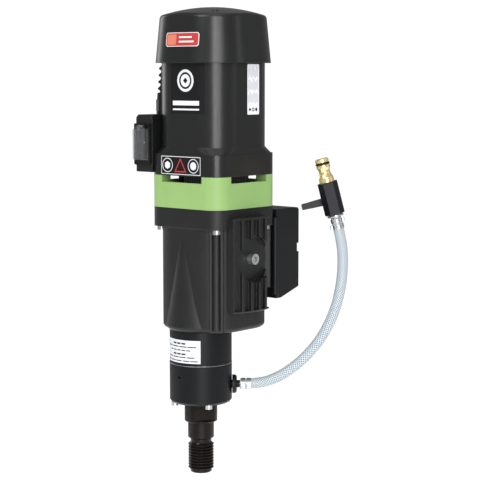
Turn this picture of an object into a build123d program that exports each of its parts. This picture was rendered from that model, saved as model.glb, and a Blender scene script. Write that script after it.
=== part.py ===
from build123d import *
from math import acos, atan2, cos, degrees, pi, radians, sin, sqrt, tan
import os

# A wet core drill motor, built to bolt to a drill stand by the block on its back.
# Millimetres. The origin is the centre of the stand bolt pattern on the rear mounting face.
# +Y points out of that face, away from the machine, and +Z points up along the spindle.

# ---- axes, seen from above
motor_axis_y = -102.0
spindle_offset = 24.0
inlet_azimuth = 131.0
flats_azimuth = 59.0

# ---- levels and lengths along Z
spindle_tip_z = -272.0
pilot_length = 4.0
thread_length = 34.0
undercut_length = 5.0
shank_length = 21.0
wrench_length = 23.5
collar_bottom_z = -183.0
collar_height = 48.4
gasket_thickness = 0.8
gearbox_bottom_z = -93.0
gearbox_height = 149.0
floor_thickness = 8.0
flange_height = 23.6
ring_height = 39.0
foot_height = 26.0
flare_height = 8.0
tube_height = 133.0
cap_rim_z = 229.5
cap_skirt_height = 56.5
cap_dome_height = 10.5

# ---- plan sizes: half widths and corner radii of the rounded squares
motor_half = 55.5
motor_corner = 38.0
ring_half = 57.4
ring_corner = 21.0
gearbox_half = 56.6
gearbox_corner = 41.0
cap_half = 64.2
cap_corner = 50.0
cap_draft = 5.5
wall = 4.0
cap_wall = 3.0
slip = 0.3
running = 0.05

# ---- spindle
thread_radius = 15.875
thread_pitch = 25.4 / 7
thread_depth = 1.9
pilot_radius = 13.3
undercut_radius = 13.0
shank_radius = 16.25
wrench_radius = 20.3
wrench_across_flats = 32.0
seal_seat_radius = 16.0
bearing_seat_radius = 15.0
spindle_upper_radius = 13.0
spindle_top_radius = 10.0
water_bore_radius = 5.0
cross_hole_radius = 3.0
spline_count = 6
spline_width = 6.0

# ---- gears
input_module = 1.25
pinion_teeth = 10
driven_teeth = 34
output_module = 1.5
low_pinion_teeth = 12
low_gear_teeth = 38
high_pinion_teeth = 18
high_gear_teeth = 32
pressure_angle = 20.0
backlash = 0.25
addendum = 0.8
gear_face = 14.0
layshaft_radius = 6.0
dog_height = 5.0
dog_count = 3
dog_angle = 44.0
shift_travel = 12.0

# ---- motor inside
rotor_shaft_radius = 7.5
rotor_core_radius = 26.0
rotor_core_height = 75.0
air_gap = 1.0
commutator_radius = 16.0
commutator_height = 22.0
brush_gap = 0.1
fan_radius = 44.5
fan_blades = 12
ring_bore_radius = 53.0
slot_length = 65.0
slot_height = 8.0

# ---- water parts
collar_radius = 38.2
neck_radius = 38.0
collar_bore_radius = 17.0
seal_radius = 25.0
hose_radius = 6.5
inlet_height = 20.6
leak_height = 34.0

# ---- rear block and finned side cover
block_half_width = 52.0
block_front_y = -44.0
block_top_z = 50.5
block_bottom_z = -49.5
block_front_drop = 11.0
key_height = 10.8
key_depth = 3.2
stand_spacing_x = 76.0
stand_spacing_z = 60.0
stand_hole_radius = 3.4
stand_hole_depth = 18.0
side_face_x = 58.0
side_front_y = -35.0
side_rear_y = 24.0
side_bottom_z = -68.0
side_top_z = 46.0
fin_radius = 73.0
fin_pitch_angle = 10.6
fin_groove_depth = 5.0
fin_groove_width = 9.4
recess_radius = 28.0
side_screw_z = -5.0

# ---- switch box
box_left_x = -77.0
box_depth = 63.0
box_front_y = motor_axis_y - 57.0
box_bottom_z = 97.5
box_top_z = 167.3
box_wall = 3.0
bezel_width = 26.3
bezel_bottom_z = 106.0
bezel_top_z = 156.5
bezel_depth = 3.0

bezel_left_x = -76.8
box_right_x = -48.7
cover_width = 21.0
cover_height = 38.4
rocker_tilt = 8.0
gland_centre = (-66.0, motor_axis_y - 16.5)
cap_post_at = 34.0
cap_post_height = 26.0

# ---- selector
sleeve_radius = 21.2
dog_radius = 19.0
dog_depth = 4.0
dog_width = 12.0
fork_thickness = 5.4
fork_bore = 18.8
rail_radius = 4.0
rail_offset = (-36.0, 29.0)
pin_radius = 2.0
knob_radius = 17.0
knob_shaft_radius = 5.0
knob_shaft_length = 9.3
knob_swing = 120.0

# ---- hose and valve, as (reach from the spindle axis, height)
hose_start_reach = 48.0
hose_bends = [(72, -162.4), (96, -154), (118.5, -138.5), (138, -119), (153, -97), (165, -70),
              (171.6, -41), (174.0, -12)]
valve_base = (163.7, 46.8)
valve_tilt = 14.3
valve_length = 40.5
valve_across_corners = 24.4
lever_height = 17.0
ball_radius = 6.5

# ---- values worked out from the ones above
spindle_axis_y = motor_axis_y - spindle_offset
input_distance = input_module * (pinion_teeth + driven_teeth) / 2
output_distance = output_module * (low_pinion_teeth + low_gear_teeth) / 2
layshaft_back = (output_distance**2 - input_distance**2 - spindle_offset**2) / (2 * spindle_offset)
layshaft_x = sqrt(input_distance**2 - layshaft_back**2)
layshaft_y = motor_axis_y + layshaft_back
thread_bottom_z = spindle_tip_z + pilot_length
thread_top_z = thread_bottom_z + thread_length
shank_bottom_z = thread_top_z + undercut_length
wrench_bottom_z = shank_bottom_z + shank_length
wrench_top_z = wrench_bottom_z + wrench_length
collar_top_z = collar_bottom_z + collar_height
neck_bottom_z = collar_top_z + gasket_thickness
floor_z = gearbox_bottom_z + floor_thickness
gearbox_top_z = gearbox_bottom_z + gearbox_height
flange_bottom_z = gearbox_top_z - flange_height
ring_top_z = gearbox_top_z + ring_height
foot_top_z = ring_top_z + foot_height
flare_top_z = foot_top_z + flare_height
tube_top_z = flare_top_z + tube_height
cap_shoulder_z = cap_rim_z + cap_skirt_height
cap_top_z = cap_shoulder_z + cap_dome_height
inlet_z = collar_bottom_z + inlet_height
leak_z = collar_bottom_z + leak_height
low_gear_z = floor_z + 13.0
low_dog_z = low_gear_z + gear_face
sleeve_length = 26.0
high_dog_z = low_dog_z + sleeve_length + shift_travel - dog_height
high_gear_z = high_dog_z + dog_height
plate_bottom_z = gearbox_top_z - 12.0
driven_gear_z = plate_bottom_z - 24.0
neck_height = gearbox_bottom_z - neck_bottom_z
lower_race_z = neck_bottom_z + 13.8
cross_hole_z = inlet_z - 2.6
upper_seal_z = collar_bottom_z + 26.0
spigot_radius = 29.0
collar_screw_circle = 34.3
collar_screw_start = 59.0
corner_screw_reach = 64.0
rib_reach = 56.8
bulge_low_radius = 43.0
bulge_high_radius = 7.0
bulge_lean = 25.0
plate_half = gearbox_half - 3.7
plate_corner = 39.9
side_screw_y = 0.0
side_recess_base = 1.8
first_groove = 65.7
block_screw_x = 48.0
block_screw_z = 76.0
top_web_z = tube_top_z - 14.0
cap_seat_z = tube_top_z + cap_post_height
spline_root = spindle_upper_radius - 1.0
spline_tip = bearing_seat_radius - 0.5
spline_middle = (spline_root + spline_tip) / 2
spline_depth = spline_tip - spline_root
sleeve_body_z = low_dog_z + dog_height + slip
sleeve_body_height = high_dog_z - shift_travel - slip - sleeve_body_z
fork_z = sleeve_body_z + (sleeve_body_height - fork_thickness) / 2
rail_centre = (rail_offset[0], spindle_axis_y + rail_offset[1])
eccentric = shift_travel / 2 / sin(radians(knob_swing / 2))
pin_at = (eccentric * cos(radians(knob_swing / 2)), shift_travel / 2)
knob_z = fork_z + fork_thickness / 2 + shift_travel / 2
bezel_x = bezel_left_x + bezel_width / 2
bezel_z = (bezel_bottom_z + bezel_top_z) / 2
hinge_y = box_front_y - bezel_depth - 2.2
hinge_z = bezel_z + cover_height / 2 + 2.3
knob_plane = Plane(origin=(-gearbox_half, rail_centre[1], knob_z), x_dir=(0, 1, 0), z_dir=(-1, 0, 0))
bezel_plane = Plane(origin=(bezel_x, box_front_y, bezel_z), x_dir=(1, 0, 0), z_dir=(0, -1, 0))
hinge_side = Plane(origin=(bezel_x, hinge_y, hinge_z), x_dir=(0, 1, 0), z_dir=(1, 0, 0))
parts_made = []

motor = (0, motor_axis_y)
spindle_centre = (0, spindle_axis_y)
layshaft_centre = (layshaft_x, layshaft_y)


def level(centre, z):
    """A horizontal plane at height z with its origin on a vertical axis."""
    return Plane(origin=(centre[0], centre[1], z))


def upright(centre):
    """A vertical plane through an axis: local x is the radius and local y is Z."""
    return Plane(origin=(centre[0], centre[1], 0), x_dir=(1, 0, 0), z_dir=(0, -1, 0))


def vertical(centre):
    """The vertical line through a centre."""
    return Axis((centre[0], centre[1], 0), (0, 0, 1))


def bearing_of(azimuth):
    """The horizontal direction at an azimuth, with 0 straight out of the front."""
    return (sin(radians(azimuth)), -cos(radians(azimuth)), 0)


def radial_plane(centre, z, azimuth, reach):
    """A plane facing outward along an azimuth, at a reach from an axis."""
    out = bearing_of(azimuth)
    origin = (centre[0] + reach * out[0], centre[1] + reach * out[1], z)
    return Plane(origin=origin, x_dir=(-out[1], out[0], 0), z_dir=out)


def finish(piece, name):
    """Label a finished piece and write it."""
    piece.part.label = name
    export_step(piece.part, f"parts/{name}.step")
    parts_made.append(name)


def turned(centre, outline):
    """A solid of revolution about a vertical axis from (radius, z) corners."""
    with BuildPart() as piece:
        with BuildSketch(upright(centre)):
            with BuildLine():
                Polyline(*outline, close=True)
            make_face()
        revolve(axis=vertical(centre))
    return piece


def washer(centre, z, height, outer, inner):
    """A plain ring."""
    with BuildPart() as piece:
        with BuildSketch(level(centre, z)):
            Circle(outer)
            Circle(inner, mode=Mode.SUBTRACT)
        extrude(amount=height)
    return piece


def ball_bearing(centre, z, width, outer, bore, balls):
    """Two races and their balls, as separate solids."""
    middle = (outer + bore) / 2
    ball = (outer - bore) * 0.27
    with BuildPart() as piece:
        with BuildSketch(upright(centre)):
            with BuildLine():
                Polyline((bore, z), (middle - 0.5 * ball, z), (middle - 0.5 * ball, z + width),
                         (bore, z + width), close=True)
            make_face()
            with BuildLine():
                Polyline((middle + 0.5 * ball, z), (outer, z), (outer, z + width),
                         (middle + 0.5 * ball, z + width), close=True)
            make_face()
            with Locations((middle, z + width / 2)):
                Circle(ball + running, mode=Mode.SUBTRACT)
        revolve(axis=vertical(centre))
        with Locations(level(centre, z + width / 2)):
            with PolarLocations(middle, balls):
                Sphere(ball)
    return piece


def screw(plane, head_radius, head_height, shank_radius, shank_length, socket_radius):
    """A socket screw. The plane lies at the underside of the head and faces out of it."""
    with BuildPart() as piece:
        with BuildSketch(plane):
            Circle(head_radius)
        extrude(amount=head_height)
        with BuildSketch(plane):
            Circle(shank_radius)
        extrude(amount=-shank_length)
        with BuildSketch(plane.offset(head_height)):
            RegularPolygon(socket_radius, 6)
        extrude(amount=-head_height * 0.6, mode=Mode.SUBTRACT)
    return piece


def gear_outline(module, teeth, tooth_at, tip_share=addendum):
    """The corners of a spur gear's outline, with a tooth centred at tooth_at degrees."""
    pitch = module * teeth / 2
    base = pitch * cos(radians(pressure_angle))
    tip = pitch + tip_share * module
    root = pitch - 1.15 * module
    half_at_pitch = (pi * module / 2 - backlash / 2) / (2 * pitch)

    def involute(radius):
        angle = acos(min(1.0, base / radius))
        return tan(angle) - angle

    flank = [root, max(base, root + 0.3 * module), pitch, tip]
    halves = [half_at_pitch + involute(pitch) - involute(max(r, base)) for r in flank]
    if root < base:
        halves[0] *= 0.8
    corners = []
    for number in range(teeth):
        middle = radians(tooth_at) + 2 * pi * number / teeth
        rising = [(r, middle - h) for r, h in zip(flank, halves)]
        falling = [(r, middle + h) for r, h in zip(reversed(flank), reversed(halves))]
        for radius, angle in rising + falling:
            corners.append((radius * cos(angle), radius * sin(angle)))
    return corners


def gear(centre, z, face, module, teeth, tooth_at, bore):
    """A spur gear with a plain bore."""
    with BuildPart() as piece:
        with BuildSketch(level(centre, z)):
            with BuildLine():
                Polyline(*gear_outline(module, teeth, tooth_at), close=True)
            make_face()
            Circle(bore, mode=Mode.SUBTRACT)
        extrude(amount=face)
    return piece


def bearing_between(start, end):
    """The direction from one axis to another, in degrees from +X."""
    return degrees(atan2(end[1] - start[1], end[0] - start[0]))


# ================================================================ drive train
# Every driving gear points a tooth at its mate, and every driven gear points a gap at it.
to_layshaft = bearing_between(motor, layshaft_centre)
to_spindle = bearing_between(layshaft_centre, spindle_centre)
core_bottom_z = flare_top_z + 3.0
core_top_z = core_bottom_z + rotor_core_height
upper_bearing_z = tube_top_z - 12.0
commutator_z = upper_bearing_z - commutator_height - 6.0
lower_bearing_z = gearbox_top_z + 2.0
fan_z = ring_top_z - slot_height - 11.0


def make_rotor_shaft():
    """The motor shaft, with the first pinion cut on its lower end."""
    seat = rotor_shaft_radius
    neck = input_module * pinion_teeth / 2 - 0.4
    outline = [
        (0, driven_gear_z + 16), (neck, driven_gear_z + 16), (neck, lower_bearing_z - 1),
        (seat, lower_bearing_z - 1), (seat, lower_bearing_z + 11), (seat + 2, lower_bearing_z + 11),
        (seat + 2, upper_bearing_z - 0.5), (6, upper_bearing_z - 0.5), (6, tube_top_z - 2), (0, tube_top_z - 2),
    ]
    with BuildPart() as rotor_shaft:
        with BuildSketch(level(motor, driven_gear_z - 1)):
            with BuildLine():
                Polyline(*gear_outline(input_module, pinion_teeth, to_layshaft), close=True)
            make_face()
        extrude(amount=18)
        add(turned(motor, outline).part)
    finish(rotor_shaft, "rotor_shaft")


def make_rotor_core():
    """The slotted lamination stack pressed on the shaft."""
    with BuildPart() as rotor_core:
        with BuildSketch(level(motor, core_bottom_z)):
            Circle(rotor_core_radius)
            Circle(rotor_shaft_radius + 2 + running, mode=Mode.SUBTRACT)
            with PolarLocations(rotor_core_radius - 3.5, 16):
                Rectangle(9, 3, mode=Mode.SUBTRACT)
        extrude(amount=rotor_core_height)
    finish(rotor_core, "rotor_core")


def make_commutator():
    """The copper commutator, with its segments parted by grooves."""
    with BuildPart() as commutator:
        with BuildSketch(level(motor, commutator_z)):
            Circle(commutator_radius)
            Circle(rotor_shaft_radius + 2 + running, mode=Mode.SUBTRACT)
            with PolarLocations(commutator_radius, 24):
                Rectangle(3, 0.8, mode=Mode.SUBTRACT)
        extrude(amount=commutator_height)
    finish(commutator, "commutator")


def make_cooling_fan():
    """The radial fan that blows the motor's air out through the ring's slots."""
    with BuildPart() as cooling_fan:
        with BuildSketch(level(motor, fan_z)):
            Circle(fan_radius)
            Circle(rotor_shaft_radius + 2 + running, mode=Mode.SUBTRACT)
        extrude(amount=2.5)
        with BuildSketch(level(motor, fan_z)):
            Circle(15)
            Circle(rotor_shaft_radius + 2 + running, mode=Mode.SUBTRACT)
        extrude(amount=16)
        with BuildSketch(level(motor, fan_z)):
            with PolarLocations(fan_radius - 11, fan_blades):
                Rectangle(20, 2, rotation=25)
        extrude(amount=18)
    finish(cooling_fan, "cooling_fan")


def make_layshaft():
    """The layshaft, with the first-speed pinion cut on it, and its two pressed gears."""
    with BuildPart() as layshaft:
        with BuildSketch(level(layshaft_centre, low_gear_z - 1)):
            with BuildLine():
                Polyline(*gear_outline(output_module, low_pinion_teeth, to_spindle), close=True)
            make_face()
        extrude(amount=gear_face + 2)
        with BuildSketch(level(layshaft_centre, floor_z + 1)):
            Circle(layshaft_radius)
        extrude(amount=plate_bottom_z + 9 - floor_z - 1)
    finish(layshaft, "layshaft")
    gap_at_motor = to_layshaft + 180 + 180 / driven_teeth
    bore = layshaft_radius + 0.02
    driven = gear(layshaft_centre, driven_gear_z, gear_face, input_module, driven_teeth, gap_at_motor, bore)
    high = gear(layshaft_centre, high_gear_z, gear_face, output_module, high_pinion_teeth, to_spindle, bore)
    with BuildPart() as layshaft_gears:
        add(driven.part)
        add(high.part)
    finish(layshaft_gears, "layshaft_gears")


def make_low_gear():
    """The first-speed gear, free on the spindle, with dogs on its top."""
    gap_at_layshaft = to_spindle + 180 + 180 / low_gear_teeth
    with BuildPart() as low_gear:
        add(gear(spindle_centre, low_gear_z, gear_face, output_module, low_gear_teeth, gap_at_layshaft,
                 bearing_seat_radius + running).part)
        with BuildSketch(level(spindle_centre, low_dog_z)):
            with PolarLocations(dog_radius, dog_count):
                Rectangle(dog_depth, dog_width)
        extrude(amount=dog_height)
    finish(low_gear, "spindle_low_gear")


def make_high_gear():
    """The second-speed gear, free on the spindle, with dogs on its underside."""
    gap_at_layshaft = to_spindle + 180 + 180 / high_gear_teeth
    with BuildPart() as high_gear:
        add(gear(spindle_centre, high_gear_z, gear_face, output_module, high_gear_teeth, gap_at_layshaft,
                 spindle_upper_radius + running).part)
        with BuildSketch(level(spindle_centre, high_dog_z)):
            with PolarLocations(dog_radius, dog_count):
                Rectangle(dog_depth, dog_width)
        extrude(amount=dog_height)
    finish(high_gear, "spindle_high_gear")


def make_dog_sleeve():
    """The sliding sleeve that locks one of the two gears to the spindle's splines."""
    with BuildPart() as dog_sleeve:
        with BuildSketch(level(spindle_centre, sleeve_body_z)):
            Circle(sleeve_radius)
        extrude(amount=sleeve_body_height)
        with BuildSketch(level(spindle_centre, sleeve_body_z - dog_height)):
            with PolarLocations(dog_radius, dog_count, start_angle=180 / dog_count):
                Rectangle(dog_depth, dog_width)
        extrude(amount=sleeve_body_height + 2 * dog_height)
        with BuildSketch(level(spindle_centre, sleeve_body_z - dog_height)):
            Circle(spindle_upper_radius + running)
            with PolarLocations(spline_middle, spline_count):
                Rectangle(spline_depth + 2 * running, spline_width + 0.2)
        extrude(amount=sleeve_body_height + 2 * dog_height, mode=Mode.SUBTRACT)
        with BuildSketch(level(spindle_centre, fork_z - slip)):
            Circle(sleeve_radius + 1)
            Circle(fork_bore - slip, mode=Mode.SUBTRACT)
        extrude(amount=fork_thickness + 2 * slip, mode=Mode.SUBTRACT)
    finish(dog_sleeve, "dog_sleeve")


def make_spindle():
    """The output spindle: 1-1/4 inch thread, wrench flats, water bore, splines and gear seats."""
    outline = [
        (water_bore_radius, spindle_tip_z), (pilot_radius - 1, spindle_tip_z),
        (pilot_radius, spindle_tip_z + 1), (pilot_radius, thread_bottom_z),
    ]
    crest = thread_bottom_z
    while crest + thread_pitch < thread_top_z:
        outline += [
            (thread_radius, crest + 0.4 * thread_pitch), (thread_radius, crest + 0.55 * thread_pitch),
            (thread_radius - thread_depth, crest + 0.95 * thread_pitch),
        ]
        crest += thread_pitch
    outline += [
        (undercut_radius, thread_top_z), (undercut_radius, shank_bottom_z - 1),
        (shank_radius - 1, shank_bottom_z), (shank_radius, shank_bottom_z + 1),
        (shank_radius, wrench_bottom_z), (wrench_radius - 0.8, wrench_bottom_z),
        (wrench_radius, wrench_bottom_z + 0.8), (wrench_radius, wrench_top_z),
        (seal_seat_radius, wrench_top_z), (seal_seat_radius, lower_race_z),
        (bearing_seat_radius, lower_race_z), (bearing_seat_radius, low_dog_z + dog_height),
        (spindle_upper_radius, low_dog_z + dog_height), (spindle_upper_radius, plate_bottom_z - 2),
        (spindle_top_radius, plate_bottom_z - 2), (spindle_top_radius, gearbox_top_z - 1),
        (0, gearbox_top_z - 1), (0, cross_hole_z + 12), (water_bore_radius, cross_hole_z + 8),
    ]
    turn = degrees(atan2(bearing_of(flats_azimuth)[1], bearing_of(flats_azimuth)[0]))
    with BuildPart() as spindle:
        add(turned(spindle_centre, outline).part)
        with BuildSketch(level(spindle_centre, wrench_bottom_z + 2)):
            with PolarLocations(wrench_across_flats / 2 + 5, 2, start_angle=turn):
                Rectangle(10, 3 * wrench_radius)
        extrude(amount=wrench_length - 4, mode=Mode.SUBTRACT)
        with BuildSketch(level(spindle_centre, low_dog_z + dog_height)):
            with PolarLocations(spline_middle, spline_count):
                Rectangle(spline_depth, spline_width)
        extrude(amount=high_dog_z - low_dog_z - dog_height - slip)
        with BuildSketch(radial_plane(spindle_centre, cross_hole_z, 0, 0)):
            Circle(cross_hole_radius)
        extrude(amount=2 * seal_seat_radius, both=True, mode=Mode.SUBTRACT)
    finish(spindle, "spindle")


# ================================================================ gear selector
def make_selector():
    """The fork on its rail, and the knob whose eccentric pin moves it."""
    with BuildPart() as fork_rail:
        with BuildSketch(level(rail_centre, floor_z)):
            Circle(rail_radius)
        extrude(amount=plate_bottom_z - floor_z)
    finish(fork_rail, "fork_rail")

    with BuildPart() as shift_fork:
        with BuildSketch(level(spindle_centre, fork_z)):
            Circle(fork_bore + 6)
            with BuildLine():
                Polyline((-8, 24), (-22, -6), (rail_offset[0] - 3, rail_offset[1] - 5),
                         (rail_offset[0] + 6, rail_offset[1] + 5), close=True)
            make_face()
            Circle(fork_bore, mode=Mode.SUBTRACT)
            with Locations((30, -10)):
                Rectangle(60, 60, mode=Mode.SUBTRACT)
        extrude(amount=fork_thickness)
        with BuildSketch(level(rail_centre, fork_z - 3)):
            Circle(rail_radius + 4.5)
            with Locations((-6, 2)):
                Rectangle(9, 13)
        extrude(amount=fork_thickness + 6)
        with BuildSketch(level(rail_centre, fork_z - 4)):
            Circle(rail_radius + running)
        extrude(amount=fork_thickness + 8, mode=Mode.SUBTRACT)
        with BuildSketch(level(rail_centre, fork_z + fork_thickness / 2 - pin_radius - 0.5)):
            with Locations((-8.5, 2)):
                Rectangle(5, 20)
        extrude(amount=2 * pin_radius + 1.0, mode=Mode.SUBTRACT)
    finish(shift_fork, "shift_fork")

    with BuildPart() as selector_shaft:
        with BuildSketch(knob_plane.offset(-knob_shaft_length)):
            Circle(knob_shaft_radius)
        extrude(amount=knob_shaft_length + 6)
        with BuildSketch(knob_plane.offset(-knob_shaft_length)):
            with Locations(pin_at):
                Circle(pin_radius)
        extrude(amount=-4)
        with BuildSketch(knob_plane.offset(-knob_shaft_length)):
            Circle(eccentric + pin_radius + 0.5)
        extrude(amount=3)
    finish(selector_shaft, "selector_shaft")

    with BuildPart() as selector_knob:
        with BuildSketch(knob_plane.offset(slip)):
            Circle(knob_radius)
        extrude(amount=6)
        with BuildSketch(knob_plane.offset(slip + 6)):
            SlotOverall(2 * knob_radius - 3, 9, rotation=-60)
        extrude(amount=9)
        fillet(selector_knob.faces().sort_by(Axis.X)[0].edges(), 1.5)
        with BuildSketch(knob_plane):
            Circle(knob_shaft_radius + 0.02)
        extrude(amount=6, mode=Mode.SUBTRACT)
    finish(selector_knob, "selector_knob")


# ================================================================ bearings and seals
def make_bearings():
    """The bearings of the spindle, the layshaft and the rotor, with the parts that hold them."""
    finish(ball_bearing(spindle_centre, lower_race_z, 16, 31, bearing_seat_radius + 0.02, 9),
           "spindle_lower_bearing")
    finish(washer(spindle_centre, lower_race_z + 16 + slip, low_gear_z - lower_race_z - 16 - 2 * slip,
                  bearing_seat_radius + 3, bearing_seat_radius + running), "spindle_spacer")
    finish(washer(spindle_centre, plate_bottom_z + 1, 10, 14, spindle_top_radius + running),
           "spindle_needle_bearing")
    with BuildPart() as layshaft_bearings:
        for z in (floor_z, plate_bottom_z):
            add(ball_bearing(layshaft_centre, z, 8, 13, layshaft_radius + 0.02, 8).part)
    finish(layshaft_bearings, "layshaft_bearings")
    with BuildPart() as rotor_bearings:
        add(ball_bearing(motor, lower_bearing_z, 11, 17.5, rotor_shaft_radius + 0.02, 8).part)
        add(ball_bearing(motor, upper_bearing_z, 10, 16, 6.02, 7).part)
    finish(rotor_bearings, "rotor_bearings")
    finish(washer(spindle_centre, lower_race_z + 16 + 0.05, 2, 31, 25), "bearing_retaining_ring")


def make_seals():
    """The two lip seals that keep the flushing water in, each with a steel-cased lip profile."""
    with BuildPart() as water_seals:
        for z in (collar_bottom_z + 3, upper_seal_z):
            outline = [
                (seal_radius, z), (seal_radius, z + 6), (seal_radius - 2, z + 6), (seal_radius - 2, z + 2),
                (seal_seat_radius + 3, z + 2), (seal_seat_radius + 2, z + 6),
                (seal_seat_radius + 0.1, z + 4.5), (seal_seat_radius + 1, z),
            ]
            add(turned(spindle_centre, outline).part)
    finish(water_seals, "water_seals")


# ================================================================ neck and water collar
def make_neck():
    """The neck that carries the lower spindle bearing."""
    outline = [
        (neck_radius, neck_bottom_z), (neck_radius, gearbox_bottom_z), (31.05, gearbox_bottom_z),
        (31.05, lower_race_z), (26, lower_race_z), (26, lower_race_z - 2), (20, lower_race_z - 4),
        (20, neck_bottom_z + 8), (spigot_radius + running, neck_bottom_z + 8),
        (spigot_radius + running, neck_bottom_z),
    ]
    with BuildPart() as spindle_neck:
        add(turned(spindle_centre, outline).part)
        with BuildSketch(level(spindle_centre, neck_bottom_z)):
            with PolarLocations(collar_screw_circle, 4, start_angle=collar_screw_start):
                Circle(2.5 + running)
        extrude(amount=neck_height, mode=Mode.SUBTRACT)
    finish(spindle_neck, "spindle_neck")
    finish(washer(spindle_centre, collar_top_z, gasket_thickness, collar_radius, collar_screw_circle + 2.5),
           "neck_gasket")


def make_collar():
    """The water collar: a chamber between two seals, with the inlet and the leak hole."""
    outline = [
        (collar_bore_radius, collar_bottom_z), (collar_radius - 3, collar_bottom_z),
        (collar_radius, collar_bottom_z + 3), (collar_radius, collar_top_z),
        (spigot_radius, collar_top_z), (spigot_radius, collar_top_z + 7.5), (20, collar_top_z + 7.5),
        (20, upper_seal_z + 12), (collar_bore_radius + 3, upper_seal_z + 6), (seal_radius, upper_seal_z + 6),
        (seal_radius, upper_seal_z), (21, upper_seal_z), (21, collar_bottom_z + 9),
        (seal_radius, collar_bottom_z + 9), (seal_radius, collar_bottom_z + 3),
        (collar_bore_radius, collar_bottom_z + 3),
    ]
    with BuildPart() as water_collar:
        add(turned(spindle_centre, outline).part)
        with BuildSketch(radial_plane(spindle_centre, inlet_z, inlet_azimuth, 0)):
            Circle(5 + running)
        extrude(amount=collar_radius + 5, mode=Mode.SUBTRACT)
        with BuildSketch(radial_plane(spindle_centre, leak_z, 0, 0)):
            Circle(1.5)
        extrude(amount=collar_radius + 5, mode=Mode.SUBTRACT)
        with BuildSketch(level(spindle_centre, collar_bottom_z)):
            with PolarLocations(collar_screw_circle, 4, start_angle=collar_screw_start):
                Circle(2.5 + running)
        extrude(amount=collar_height + 20, mode=Mode.SUBTRACT)
        with BuildSketch(level(spindle_centre, collar_bottom_z)):
            with PolarLocations(collar_screw_circle - 1, 4, start_angle=collar_screw_start):
                Circle(4.4)
        extrude(amount=1, mode=Mode.SUBTRACT)
    finish(water_collar, "water_collar")

    with BuildPart() as collar_screws:
        with BuildSketch(level(spindle_centre, collar_bottom_z - 4)):
            with PolarLocations(collar_screw_circle - 1, 4, start_angle=collar_screw_start):
                Circle(4.2)
        extrude(amount=5)
        with BuildSketch(level(spindle_centre, collar_bottom_z + 1)):
            with PolarLocations(collar_screw_circle, 4, start_angle=collar_screw_start):
                Circle(2.5)
        extrude(amount=gearbox_bottom_z + 6 - collar_bottom_z - 1)
        with BuildSketch(level(spindle_centre, collar_bottom_z - 4)):
            with PolarLocations(collar_screw_circle - 1, 4, start_angle=collar_screw_start):
                RegularPolygon(2.4, 6)
        extrude(amount=3, mode=Mode.SUBTRACT)
    finish(collar_screws, "collar_screws")


def make_inlet():
    """The water inlet: a domed flange, a threaded stub and a barb's shoulder."""
    out = radial_plane(spindle_centre, inlet_z, inlet_azimuth, collar_radius + 0.4)
    with BuildPart() as water_inlet:
        with BuildSketch(out):
            Circle(11.45)
        extrude(amount=5.7)
        fillet(water_inlet.edges().filter_by(GeomType.CIRCLE).sort_by(Axis(out.origin, out.z_dir))[-1], 3)
        with BuildSketch(out):
            Circle(5)
        extrude(amount=-10)
        with BuildSketch(out.offset(5)):
            Circle(4.6)
        extrude(amount=hose_start_reach - collar_radius - 5.4)
        with BuildSketch(out):
            Circle(2.5)
        extrude(amount=30, both=True, mode=Mode.SUBTRACT)
    finish(water_inlet, "water_inlet")


# ================================================================ gearbox castings
def square_block(z, height, half, corner, taper=0.0):
    """An upright block of rounded-square plan about the motor axis."""
    with BuildPart() as piece:
        with BuildSketch(level(motor, z)):
            RectangleRounded(2 * half, 2 * half, corner)
        extrude(amount=height, taper=taper)
    return piece


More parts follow.
